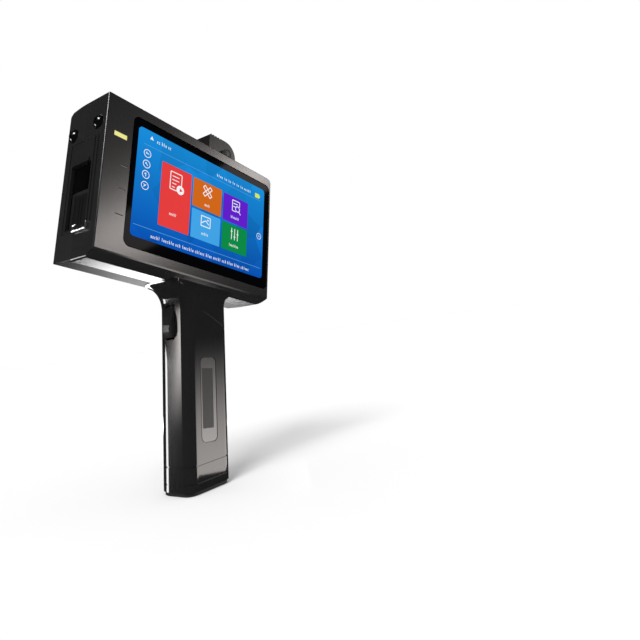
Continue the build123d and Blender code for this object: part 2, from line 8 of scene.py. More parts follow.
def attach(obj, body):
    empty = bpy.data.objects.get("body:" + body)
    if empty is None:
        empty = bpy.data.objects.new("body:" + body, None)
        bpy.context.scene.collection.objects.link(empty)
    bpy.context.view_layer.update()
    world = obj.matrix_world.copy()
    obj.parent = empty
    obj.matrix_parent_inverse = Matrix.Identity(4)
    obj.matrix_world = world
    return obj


bl_info = {
    "name": "Handheld Date Coder",
    "version": (1, 0, 0),
    "blender": (4, 5, 0),
    "location": "View3D > Sidebar > Date Coder",
    "description": "Finishes, screen picture and studio for a handheld date code printer",
    "category": "Add Mesh",
}

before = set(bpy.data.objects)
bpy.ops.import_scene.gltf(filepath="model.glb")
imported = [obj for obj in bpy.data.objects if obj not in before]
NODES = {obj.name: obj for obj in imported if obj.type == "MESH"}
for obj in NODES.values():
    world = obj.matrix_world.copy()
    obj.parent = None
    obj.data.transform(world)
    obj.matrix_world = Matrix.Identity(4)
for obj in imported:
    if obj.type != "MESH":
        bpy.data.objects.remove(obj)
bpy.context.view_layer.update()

MM = 0.001
HEAD_TILT = math.radians(13.0)
BASE = Vector((96.0, 19.4, -124.3)) * MM
HEAD = Matrix.Rotation(HEAD_TILT, 4, "Y") @ Matrix.Translation(-BASE)
PICTURE = HEAD @ Matrix.Translation((0.0, 0.2 * MM, 0.0))      # the cover glass's front
SCREEN = (20.8, 129.4, 13.4, 79.7)      # lit area in the head's frame: x0, x1, z0, z1

# depths of the thin layers on the cover glass, millimetres along y, front and back
BACKDROP = (0.04, 0.14)
TILE = (0.0, 0.06)
RULE = (0.01, 0.06)
BADGE = (0.0, 0.05)
LINE = (-0.04, 0.02)
PLAY = (-0.08, -0.03)
RIM = (-0.14, 0.02)
GLINT = (-0.17, -0.07)


# ---------------------------------------------------------------- colour helpers
def linear(hex_code):
    """Linear colour of a six-digit web colour."""
    values = [int(hex_code[i:i + 2], 16) / 255 for i in (0, 2, 4)]
    return tuple(v / 12.92 if v <= 0.04045 else ((v + 0.055) / 1.055) ** 2.4 for v in values) + (1.0,)


# ---------------------------------------------------------------- settings
class ShellSettings(bpy.types.PropertyGroup):
    """Finish of the moulded shell."""
    shell_colour: bpy.props.FloatVectorProperty(
        name="Shell colour", description="Base colour of the glossy shell", subtype="COLOR",
        size=4, min=0.0, max=1.0, default=(0.012, 0.0115, 0.0115, 1.0))
    grip_colour: bpy.props.FloatVectorProperty(
        name="Grip colour", description="Base colour of the glossy grip", subtype="COLOR",
        size=4, min=0.0, max=1.0, default=(0.010, 0.0098, 0.010, 1.0))
    gloss: bpy.props.FloatProperty(
        name="Shell roughness", description="Roughness of the polished moulding",
        subtype="FACTOR", min=0.0, max=1.0, default=0.22)


class ScreenSettings(bpy.types.PropertyGroup):
    """Colours and brightness of the lit screen."""
    brightness: bpy.props.FloatProperty(
        name="Brightness", description="Strength of the lit screen", min=0.0, max=4.0, default=0.95)
    top_colour: bpy.props.FloatVectorProperty(
        name="Top colour", description="Colour along the screen's top", subtype="COLOR",
        size=4, min=0.0, max=1.0, default=linear("1a90de"))
    bottom_colour: bpy.props.FloatVectorProperty(
        name="Bottom colour", description="Colour along the screen's bottom", subtype="COLOR",
        size=4, min=0.0, max=1.0, default=linear("0a52b4"))
    line_width: bpy.props.FloatProperty(
        name="Icon line", description="Width of the icons' lines", unit="LENGTH",
        min=0.0001, max=0.002, default=0.0006)


class StageSettings(bpy.types.PropertyGroup):
    """Floor and lights of the studio."""
    floor_colour: bpy.props.FloatVectorProperty(
        name="Floor colour", description="Colour of the floor", subtype="COLOR",
        size=4, min=0.0, max=1.0, default=(0.90, 0.90, 0.90, 1.0))
    key_strength: bpy.props.FloatProperty(
        name="Key light", description="Strength of the shadow-casting light", min=0.0, max=20.0, default=2.2)
    key_softness: bpy.props.FloatProperty(
        name="Key softness", description="Angle across the shadow-casting light", subtype="ANGLE",
        min=0.0, max=1.5, default=math.radians(28.0))
    fill: bpy.props.FloatProperty(
        name="Fill", description="Even light from all round", min=0.0, max=4.0, default=0.62)
    room_gloss: bpy.props.FloatProperty(
        name="Room in gloss", description="How bright the room looks in polished surfaces",
        min=0.0, max=1.0, default=0.035)
    box_strength: bpy.props.FloatProperty(
        name="Softboxes", description="Factor on the reflected softboxes", min=0.0, max=10.0, default=1.0)


# ---------------------------------------------------------------- node groups
def new_group(name, inputs, outputs):
    """Empty shader node group with float inputs and the given outputs."""
    group = bpy.data.node_groups.new(name, "ShaderNodeTree")
    for label, value in inputs:
        socket = group.interface.new_socket(label, in_out="INPUT", socket_type="NodeSocketFloat")
        socket.default_value = value
    for label, kind in outputs:
        group.interface.new_socket(label, in_out="OUTPUT", socket_type=kind)
    return group, group.nodes.new("NodeGroupInput"), group.nodes.new("NodeGroupOutput")


def texture_point(tree):
    """Socket with the point in the piece's own coordinates."""
    return tree.nodes.new("ShaderNodeTexCoord").outputs["Object"]


def build_handling_group():
    """Uneven polish and faint wiping marks, as a roughness and a height."""
    inputs = [("Roughness", 0.2), ("Variation", 0.05), ("Patch scale", 60.0), ("Grain scale", 2500.0)]
    outputs = [("Roughness", "NodeSocketFloat"), ("Height", "NodeSocketFloat"), ("Mask", "NodeSocketFloat")]
    group, inp, out = new_group("Handling polish", inputs, outputs)
    point = texture_point(group)
    patch = group.nodes.new("ShaderNodeTexNoise")
    patch.inputs["Detail"].default_value = 4.0
    group.links.new(point, patch.inputs["Vector"])
    group.links.new(inp.outputs["Patch scale"], patch.inputs["Scale"])
    grain = group.nodes.new("ShaderNodeTexNoise")
    grain.inputs["Detail"].default_value = 2.0
    group.links.new(point, grain.inputs["Vector"])
    group.links.new(inp.outputs["Grain scale"], grain.inputs["Scale"])
    centred = group.nodes.new("ShaderNodeMath")
    centred.operation = "SUBTRACT"
    centred.inputs[1].default_value = 0.5
    group.links.new(patch.outputs["Fac"], centred.inputs[0])
    spread = group.nodes.new("ShaderNodeMath")
    spread.operation = "MULTIPLY_ADD"
    group.links.new(centred.outputs[0], spread.inputs[0])
    group.links.new(inp.outputs["Variation"], spread.inputs[1])
    group.links.new(inp.outputs["Roughness"], spread.inputs[2])
    group.links.new(spread.outputs[0], out.inputs["Roughness"])
    group.links.new(grain.outputs["Fac"], out.inputs["Height"])
    group.links.new(patch.outputs["Fac"], out.inputs["Mask"])
    return group


def build_brushed_group():
    """Fine parallel scratches along one axis, as a roughness and a height."""
    inputs = [("Roughness", 0.3), ("Variation", 0.15), ("Scale", 900.0), ("Stretch", 0.03)]
    outputs = [("Roughness", "NodeSocketFloat"), ("Height", "NodeSocketFloat")]
    group, inp, out = new_group("Drawn metal", inputs, outputs)
    combine = group.nodes.new("ShaderNodeCombineXYZ")
    combine.inputs["Y"].default_value = 1.0
    combine.inputs["Z"].default_value = 1.0
    group.links.new(inp.outputs["Stretch"], combine.inputs["X"])
    squeeze = group.nodes.new("ShaderNodeVectorMath")
    squeeze.operation = "MULTIPLY"
    group.links.new(texture_point(group), squeeze.inputs[0])
    group.links.new(combine.outputs[0], squeeze.inputs[1])
    noise = group.nodes.new("ShaderNodeTexNoise")
    noise.inputs["Detail"].default_value = 3.0
    group.links.new(squeeze.outputs[0], noise.inputs["Vector"])
    group.links.new(inp.outputs["Scale"], noise.inputs["Scale"])
    spread = group.nodes.new("ShaderNodeMath")
    spread.operation = "MULTIPLY_ADD"
    group.links.new(noise.outputs["Fac"], spread.inputs[0])
    group.links.new(inp.outputs["Variation"], spread.inputs[1])
    group.links.new(inp.outputs["Roughness"], spread.inputs[2])
    group.links.new(spread.outputs[0], out.inputs["Roughness"])
    group.links.new(noise.outputs["Fac"], out.inputs["Height"])
    return group


GROUPS = {}


def effect(name):
    """The shared node group of that name, built at its first use."""
    if name not in GROUPS:
        GROUPS[name] = {"polish": build_handling_group, "brushed": build_brushed_group}[name]()
    return GROUPS[name]


# ---------------------------------------------------------------- materials
def new_material(name, colour, metallic=0.0, ior=1.5, coat=0.0, coat_roughness=0.05):
    """Material with a plain shader, its node tree and its shader."""
    material = bpy.data.materials.new(name)
    material.use_nodes = True
    material.diffuse_color = colour
    shader = material.node_tree.nodes["Principled BSDF"]
    shader.inputs["Base Color"].default_value = colour
    shader.inputs["Metallic"].default_value = metallic
    shader.inputs["IOR"].default_value = ior
    shader.inputs["Coat Weight"].default_value = coat
    shader.inputs["Coat Roughness"].default_value = coat_roughness
    return material, material.node_tree, shader


def add_bump(tree, shader, height, strength, distance):
    """Let a height socket raise and lower the surface's shading."""
    bump = tree.nodes.new("ShaderNodeBump")
    bump.inputs["Strength"].default_value = strength
    bump.inputs["Distance"].default_value = distance
    tree.links.new(height, bump.inputs["Height"])
    tree.links.new(bump.outputs["Normal"], shader.inputs["Normal"])


def moulded(name, colour, roughness, variation=0.05, grain=2500.0, bump=0.05, depth=0.00002,
            patch=60.0, ior=1.5, coat=0.0, mottling=0.15):
    """Moulded plastic: uneven polish, fine texture and a slight tone change."""
    material, tree, shader = new_material(name, colour, ior=ior, coat=coat)
    wear = tree.nodes.new("ShaderNodeGroup")
    wear.node_tree = effect("polish")
    wear.inputs["Roughness"].default_value = roughness
    wear.inputs["Variation"].default_value = variation
    wear.inputs["Patch scale"].default_value = patch
    wear.inputs["Grain scale"].default_value = grain
    tree.links.new(wear.outputs["Roughness"], shader.inputs["Roughness"])
    tone = tree.nodes.new("ShaderNodeMix")
    tone.data_type = "RGBA"
    darker = tuple(c * (1.0 - mottling) for c in colour[:3]) + (1.0,)
    lighter = tuple(min(1.0, c * (1.0 + mottling)) for c in colour[:3]) + (1.0,)
    tone.inputs["A"].default_value = darker
    tone.inputs["B"].default_value = lighter
    tree.links.new(wear.outputs["Mask"], tone.inputs["Factor"])
    tree.links.new(tone.outputs["Result"], shader.inputs["Base Color"])
    add_bump(tree, shader, wear.outputs["Height"], bump, depth)
    return material


def metal(name, colour, roughness, variation=0.1, scale=900.0, stretch=0.05, bump=0.05):
    """Drawn or plated metal with fine scratches."""
    material, tree, shader = new_material(name, colour, metallic=1.0)
    drawn = tree.nodes.new("ShaderNodeGroup")
    drawn.node_tree = effect("brushed")
    drawn.inputs["Roughness"].default_value = roughness
    drawn.inputs["Variation"].default_value = variation
    drawn.inputs["Scale"].default_value = scale
    drawn.inputs["Stretch"].default_value = stretch
    tree.links.new(drawn.outputs["Roughness"], shader.inputs["Roughness"])
    add_bump(tree, shader, drawn.outputs["Height"], bump, 0.00001)
    return material


def glowing(name, brightness):
    """Black material without gloss that gives off its own light."""
    material, tree, shader = new_material(name, (0.0, 0.0, 0.0, 1.0))
    shader.inputs["Specular IOR Level"].default_value = 0.0
    shader.inputs["Roughness"].default_value = 0.3
    shader.inputs["Emission Strength"].default_value = brightness
    return material, tree, shader


def lit(name, colour, brightness):
    """Lit colour of a screen, very slightly uneven."""
    material, tree, shader = glowing(name, brightness)
    facets = tree.nodes.new("ShaderNodeTexNoise")
    facets.inputs["Scale"].default_value = 30.0
    tree.links.new(texture_point(tree), facets.inputs["Vector"])
    tone = tree.nodes.new("ShaderNodeMix")
    tone.data_type = "RGBA"
    tone.inputs["A"].default_value = tuple(c * 0.94 for c in colour[:3]) + (1.0,)
    tone.inputs["B"].default_value = tuple(min(1.0, c * 1.06) for c in colour[:3]) + (1.0,)
    tree.links.new(facets.outputs["Fac"], tone.inputs["Factor"])
    tree.links.new(tone.outputs["Result"], shader.inputs["Emission Color"])
    return material


def lit_backdrop(settings):
    """Blue picture behind the tiles: a top-to-bottom blend broken into large facets."""
    material, tree, shader = glowing("lit_backdrop", settings.brightness)
    mapping = tree.nodes.new("ShaderNodeMapping")
    mapping.vector_type = "POINT"
    mapping.inputs["Rotation"].default_value = (0.0, -HEAD_TILT, 0.0)
    tree.links.new(texture_point(tree), mapping.inputs["Vector"])
    split = tree.nodes.new("ShaderNodeSeparateXYZ")
    tree.links.new(mapping.outputs[0], split.inputs[0])
    span = tree.nodes.new("ShaderNodeMapRange")
    span.inputs["From Min"].default_value = (SCREEN[2] * MM - BASE.z)
    span.inputs["From Max"].default_value = (SCREEN[3] * MM - BASE.z)
    tree.links.new(split.outputs["Z"], span.inputs["Value"])
    blend = tree.nodes.new("ShaderNodeMix")
    blend.data_type = "RGBA"
    blend.inputs["A"].default_value = settings.bottom_colour
    blend.inputs["B"].default_value = settings.top_colour
    tree.links.new(span.outputs["Result"], blend.inputs["Factor"])
    cells = tree.nodes.new("ShaderNodeTexVoronoi")
    cells.inputs["Scale"].default_value = 52.0
    tree.links.new(mapping.outputs[0], cells.inputs["Vector"])
    shade = tree.nodes.new("ShaderNodeSeparateColor")
    tree.links.new(cells.outputs["Color"], shade.inputs[0])
    strength = tree.nodes.new("ShaderNodeMapRange")
    strength.inputs["To Min"].default_value = 0.80
    strength.inputs["To Max"].default_value = 1.12
    tree.links.new(shade.outputs[0], strength.inputs["Value"])
    scaled = tree.nodes.new("ShaderNodeVectorMath")
    scaled.operation = "SCALE"
    tree.links.new(blend.outputs["Result"], scaled.inputs[0])
    tree.links.new(strength.outputs["Result"], scaled.inputs["Scale"])
    tree.links.new(scaled.outputs[0], shader.inputs["Emission Color"])
    return material


# ---------------------------------------------------------------- modelling helpers
def deselect():
    """Leave edit mode and select nothing."""
    if bpy.context.mode != "OBJECT":
        bpy.ops.object.mode_set(mode="OBJECT")
    bpy.ops.object.select_all(action="DESELECT")


def take(obj):
    """Select one object alone and make it active."""
    deselect()
    obj.select_set(True)
    bpy.context.view_layer.objects.active = obj


def settle(obj, where):
    """Move a piece from its own frame into the row frame and bake the place into its mesh."""
    obj.matrix_world = where @ obj.matrix_world
    take(obj)
    bpy.ops.object.transform_apply(location=True, rotation=True, scale=True)
    return obj


def round_edges(obj, axis, radius, segments):
    """Bevel the edges that run along one axis."""
    take(obj)
    bpy.ops.object.mode_set(mode="EDIT")
    bpy.ops.mesh.select_mode(type="EDGE")
    bpy.ops.mesh.select_all(action="DESELECT")
    bpy.ops.object.mode_set(mode="OBJECT")
    mesh = obj.data
    for edge in mesh.edges:
        a, b = (mesh.vertices[i].co for i in edge.vertices)
        run = (b - a).normalized()
        edge.select = abs(run[axis]) > 0.99
    bpy.ops.object.mode_set(mode="EDIT")
    bpy.ops.mesh.bevel(offset=radius, segments=segments, affect="EDGES")
    bpy.ops.object.mode_set(mode="OBJECT")


def plate(x, z, width, height, layer, radius=0.2, turn=0.0, segments=3):
    """Round-cornered plate facing the front; millimetres, in the piece's own frame."""
    y0, y1 = layer
    deselect()
    bpy.ops.mesh.primitive_cube_add(size=1.0, location=(0.0, 0.0, 0.0))
    obj = bpy.context.active_object
    obj.scale = (width * MM, (y1 - y0) * MM, height * MM)
    bpy.ops.object.transform_apply(location=False, rotation=False, scale=True)
    round_edges(obj, 1, min(radius, width * 0.49, height * 0.49) * MM, segments)
    obj.rotation_euler = (0.0, math.radians(turn), 0.0)
    obj.location = (x * MM, (y0 + y1) / 2 * MM, z * MM)
    take(obj)
    bpy.ops.object.transform_apply(location=True, rotation=True, scale=True)
    return obj


def ring(x, z, radius, width, layer, vertices=28):
    """Flat ring facing the front."""
    y0, y1 = layer
    deselect()
    bpy.ops.mesh.primitive_torus_add(
        major_segments=vertices, minor_segments=8, major_radius=radius * MM,
        minor_radius=width / 2 * MM, rotation=(math.pi / 2, 0.0, 0.0),
        location=(x * MM, (y0 + y1) / 2 * MM, z * MM))
    obj = bpy.context.active_object
    bpy.ops.object.transform_apply(location=False, rotation=True, scale=True)
    obj.scale = (1.0, (y1 - y0) / width, 1.0)
    bpy.ops.object.transform_apply(location=True, rotation=True, scale=True)
    return obj


def disc(x, z, radius, layer, vertices=24, turn=0.0):
    """Flat disc, or a small polygon with few corners."""
    y0, y1 = layer
    deselect()
    bpy.ops.mesh.primitive_cylinder_add(
        vertices=vertices, radius=radius * MM, depth=(y1 - y0) * MM,
        rotation=(math.pi / 2, math.radians(turn), 0.0),
        location=(x * MM, (y0 + y1) / 2 * MM, z * MM))
    obj = bpy.context.active_object
    bpy.ops.object.transform_apply(location=True, rotation=True, scale=True)
    take(obj)
    bpy.ops.object.mode_set(mode="EDIT")
    bpy.ops.mesh.select_all(action="SELECT")
    bpy.ops.mesh.bevel(offset=0.01 * MM, segments=1, affect="EDGES")
    bpy.ops.object.mode_set(mode="OBJECT")
    return obj


def join(parts, name):
    """One object made of several, each copy with its own mesh."""
    take(parts[0])
    for part in parts:
        part.select_set(True)
    if len(parts) > 1:
        bpy.ops.object.join()
    obj = bpy.context.active_object
    obj.name = name
    obj.data.name = name
    return obj


def stamp(model, x, z, turn=0.0):
    """Copy of a small piece with its own mesh, at another place on the screen."""
    copy = model.copy()
    copy.data = model.data.copy()
    copy.location = (x * MM, 0.0, z * MM)
    copy.rotation_euler = (0.0, math.radians(turn), 0.0)
    bpy.context.scene.collection.objects.link(copy)
    return copy


def stamp_all(model, places):
    """Copies of a piece at each (x, z) or (x, z, turn); the model itself goes."""
    copies = [stamp(model, *place) for place in places]
    bpy.data.objects.remove(model)
    return copies


def hand_over(obj, where, body, material):
    """Place a piece, give it its finish, and let it ride on its body."""
    settle(obj, where)
    obj.data.materials.clear()
    obj.data.materials.append(material)
    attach(obj, body)
    return obj


def finish_node(node, material):
    """Give a CAD node a finished material in every slot."""
    obj = NODES[node]
    for i in range(len(obj.material_slots)):
        obj.material_slots[i].material = material


# ---------------------------------------------------------------- finishes
class CODER_OT_shell_finish(bpy.types.Operator):
    """Polished and satin black mouldings of the head, neck, grip and levers"""
    bl_idname = "coder.shell_finish"
    bl_label = "Shell finishes"

    def execute(self, context):
        shell = context.scene.coder_shell
        gloss = moulded("shell_gloss", tuple(shell.shell_colour), shell.gloss, 0.03, bump=0.02,
                         depth=0.000001, ior=1.8)
        satin = moulded("shell_satin", (0.014, 0.0135, 0.0135, 1.0), 0.42, 0.06,
                         grain=1800.0, bump=0.10, depth=0.000003, ior=1.3)
        grip = moulded("grip_gloss", tuple(shell.grip_colour), 0.08, 0.02, bump=0.02,
                        depth=0.000001, ior=1.8)
        trigger = moulded("trigger_gloss", (0.02, 0.02, 0.021, 1.0), 0.16, 0.05, bump=0.02,
                           depth=0.000002, ior=1.7)
        lever = moulded("lever_gloss", (0.010, 0.010, 0.010, 1.0), 0.3, 0.06, bump=0.05, depth=0.000003)
        guide = moulded("guide_satin", (0.012, 0.0118, 0.012, 1.0), 0.30, 0.08, bump=0.08, depth=0.000003)
        finish_node("front_housing", gloss)
        finish_node("rear_housing", satin)
        for node in ("grip_front", "grip_back", "neck_collar", "battery_cap"):
            finish_node(node, grip)
        finish_node("trigger", trigger)
        finish_node("lock_lever", lever)
        finish_node("guide_plate", guide)
        finish_node("grip_inlay", moulded("inlay_grey", (0.05, 0.048, 0.047, 1.0), 0.24, 0.05,
                                          bump=0.03, ior=1.9, coat=0.3))
        finish_node("grip_pad", moulded("pad_matte", (0.030, 0.028, 0.028, 1.0), 0.6, 0.1,
                                        grain=1200.0, bump=0.35, depth=0.00004))
        finish_node("foot_pad", moulded("foot_rubber", (0.012, 0.012, 0.012, 1.0), 0.75, 0.1,
                                        grain=1500.0, bump=0.4, depth=0.00004))
        finish_node("power_button", moulded("button_satin", (0.03, 0.03, 0.032, 1.0), 0.35, 0.08))
        return {"FINISHED"}


class CODER_OT_inner_finish(bpy.types.Operator):
    """Plastics, boards and metals inside the head and grip"""
    bl_idname = "coder.inner_finish"
    bl_label = "Inner finishes"

    def execute(self, context):
        bay = moulded("bay_plastic", (0.02, 0.02, 0.021, 1.0), 0.5, 0.1, grain=1500.0, bump=0.25)
        block = moulded("block_plastic", (0.018, 0.018, 0.018, 1.0), 0.45, 0.1, bump=0.2)
        board = moulded("board_green", (0.02, 0.12, 0.05, 1.0), 0.4, 0.1, grain=900.0, bump=0.3,
                        mottling=0.3)
        cell = moulded("cell_wrap", (0.04, 0.13, 0.38, 1.0), 0.28, 0.08, bump=0.03)
        gold = metal("contact_gold", (0.85, 0.6, 0.25, 1.0), 0.22)
        screw = metal("screw_steel", (0.32, 0.32, 0.33, 1.0), 0.28, stretch=0.6)
        dome = metal("dome_steel", (0.09, 0.09, 0.092, 1.0), 0.10, 0.04, stretch=0.8)
        chrome = metal("latch_chrome", (0.86, 0.86, 0.88, 1.0), 0.07, 0.05)
        pin = metal("pin_steel", (0.55, 0.55, 0.57, 1.0), 0.2)
        spring = metal("spring_steel", (0.45, 0.45, 0.47, 1.0), 0.25)
        port = metal("port_steel", (0.6, 0.6, 0.62, 1.0), 0.25)
        # the nozzle plate's near-black colour is painted shade of the recessed bay, not the plate's own
        # gold-brown colour
        nozzle = metal("nozzle_steel", (0.07, 0.07, 0.075, 1.0), 0.35)
        cartridge = moulded("cartridge_black", (0.013, 0.013, 0.014, 1.0), 0.38, 0.08, bump=0.12)
        finishes = {
            bay: ("cartridge_carriage", "lever_bracket"),
            block: ("contact_block", "dc_jack", "power_switch", "trigger_switch", "battery_cage"),
            board: ("mainboard", "battery_contacts"),
            cell: ("battery_cells",),
            gold: ("contact_pins", "cartridge_contacts"),
            screw: ("rear_screws", "board_screws", "neck_screws", "grip_screws"),
            dome: ("guide_screws", "lever_pin"),
            chrome: ("wire_latch",),
            pin: ("trigger_pin",),
            spring: ("trigger_spring",),
            port: ("usb_port",),
            nozzle: ("nozzle_plate",),
            cartridge: ("cartridge_body", "cartridge_lid"),
        }
        for material, names in finishes.items():
            for name in names:
                finish_node(name, material)
        return {"FINISHED"}


class CODER_OT_screen_glass(bpy.types.Operator):
    """Black bordered cover glass, the panel behind it and the status light"""
    bl_idname = "coder.screen_glass"
    bl_label = "Screen glass"

    def execute(self, context):
        glass = moulded("screen_glass", (0.0015, 0.0015, 0.002, 1.0), 0.06, 0.03, bump=0.0, patch=25.0)
        glass.node_tree.nodes["Principled BSDF"].inputs["Specular IOR Level"].default_value = 0.03
        finish_node("touch_glass", glass)
        finish_node("display_panel", moulded("screen_panel", (0.03, 0.05, 0.08, 1.0), 0.5))
        finish_node("status_led", lit("led_amber", linear("f3ee98"), 0.92))
        # the side marks are coloured near-black: painted shade inside their recessed slots
        finish_node("side_marks", moulded("mark_grey", (0.006, 0.006, 0.006, 1.0), 0.35))
        rim = [plate(9.5, z, 8.4, 0.22, RIM, 0.1) for z in (66.51, 69.29)]
        rim += [plate(x, 67.9, 0.22, 2.56, RIM, 0.1) for x in (5.41, 13.59)]
        hand_over(join(rim, "status_rim"), PICTURE, "frame",
                  moulded("led_rim", linear("8f8648"), 0.3))
        # light-grey strips just under the side marks: painted highlight along each slot's lower edge
        glints = [plate(x, z - 0.28, width, 0.22, GLINT, 0.1)
                  for x, z, width in ((13.2, 51.0, 4.2), (13.2, 36.9, 4.2), (13.0, 22.3, 4.6))]
        hand_over(join(glints, "mark_glints"), PICTURE, "frame",
                  moulded("glint_grey", linear("8d8682"), 0.3))
        return {"FINISHED"}


class CODER_OT_screen_picture(bpy.types.Operator):
    """Lit picture on the screen: backdrop, header, footer and five tiles"""
    bl_idname = "coder.screen_picture"
    bl_label = "Screen picture"

    def execute(self, context):
        screen = context.scene.coder_screen
        x0, x1, z0, z1 = SCREEN
        back = plate((x0 + x1) / 2, (z0 + z1) / 2, x1 - x0, z1 - z0, BACKDROP, 2.6, segments=6)
        back.name = "screen_backdrop"
        hand_over(back, PICTURE, "frame", lit_backdrop(screen))
        tiles = (
            ("tile_start", 38.6, 61.6, 25.0, 64.9, "e8403f"),
            ("tile_edit", 63.2, 87.6, 45.6, 64.5, "d5691b"),
            ("tile_preview", 89.3, 112.9, 44.9, 63.8, "6420cf"),
            ("tile_image", 63.2, 87.6, 25.0, 44.0, "43a7ea"),
            ("tile_setup", 89.3, 112.9, 25.0, 43.6, "0e8d48"),
        )
        for name, xa, xb, za, zb, code in tiles:
            tile = plate((xa + xb) / 2, (za + zb) / 2, xb - xa, zb - za, TILE, 0.5)
            tile.name = name
            hand_over(tile, PICTURE, "frame", lit(name, linear(code), screen.brightness))
        rules = [plate((x0 + x1) / 2, 20.4, x1 - x0 - 3, 0.28, RULE, 0.1),
                 plate((x0 + x1) / 2, 70.2, x1 - x0 - 8, 0.22, RULE, 0.1)]
        hand_over(join(rules, "screen_rules"), PICTURE, "frame",
                  lit("lit_rule", linear("5fa8e8"), screen.brightness))
        battery = [plate(121.9, 73.0, 4.4, 3.2, BADGE, 0.3),
                   plate(124.5, 73.0, 0.6, 1.5, BADGE, 0.1)]
        hand_over(join(battery, "screen_battery"), PICTURE, "frame",
                  lit("lit_battery", linear("d8ef5a"), screen.brightness))
        return {"FINISHED"}


# strokes of each made-up letter: which stroke, and how far beside and above the row's middle
LETTERS = (
    (("tall", -0.27, 0.0), ("low", 0.27, -0.18), ("bar", 0.0, 0.06)),
    (("low", -0.27, -0.18), ("low", 0.27, -0.18), ("bar", 0.0, 0.10)),
    (("low", -0.27, -0.18), ("bar", 0.0, 0.10), ("bar", 0.0, -0.42)),
    (("tall", 0.0, 0.0),),
    (("low", -0.27, -0.18), ("bar", 0.0, 0.10), ("bar", 0.0, -0.16), ("bar", 0.0, -0.42)),
)


# made-up words: start along x, middle along z, letter height, letters a word, first letter, pitch
WORDS = {
    "labels": ((46.6, 34.4, 2.0, (5,), 1), (73.6, 49.4, 2.0, (4,), 2), (97.2, 49.2, 2.0, (7,), 3),
               (72.4, 29.8, 2.0, (5,), 4), (96.6, 29.4, 2.0, (8,), 0)),
    "header": ((34.2, 75.2, 2.4, (2, 3, 2), 2, 1.3), (83.0, 73.4, 1.9, (4, 2, 2, 2, 2, 2, 5), 1, 1.42)),
    "footer": ((35.0, 16.6, 2.2, (5, 7, 3, 7, 6, 4, 5, 3, 4, 4, 6), 1, 1.34),),
}
STROKE = 0.26                           # width of a letter's upright, millimetres
LETTER_GAP = 0.7                        # gap between words, share of the pitch


def text_rows(place):
    """Every line of words at one place on the screen."""
    return [part for row in WORDS[place] for part in text_row(*row)]


def text_row(x0, z, height, words, first, pitch=1.12):
    """A line of made-up letters, each a few short strokes."""
    models = {
        "tall": plate(0.0, 0.0, STROKE, height, LINE, 0.1, segments=1),
        "low": plate(0.0, 0.0, STROKE, height * 0.64, LINE, 0.1, segments=1),
        "bar": plate(0.0, 0.0, 0.7, 0.24, LINE, 0.1, segments=1),
    }
    parts = []
    x = x0
    for word in words:
        for i in range(word):
            for stroke, dx, dz in LETTERS[(i * 3 + word + first) % len(LETTERS)]:
                parts.append(stamp(models[stroke], x + dx, z + dz * height))
            x += pitch
        x += pitch * LETTER_GAP
    for model in models.values():
        bpy.data.objects.remove(model)
    return parts


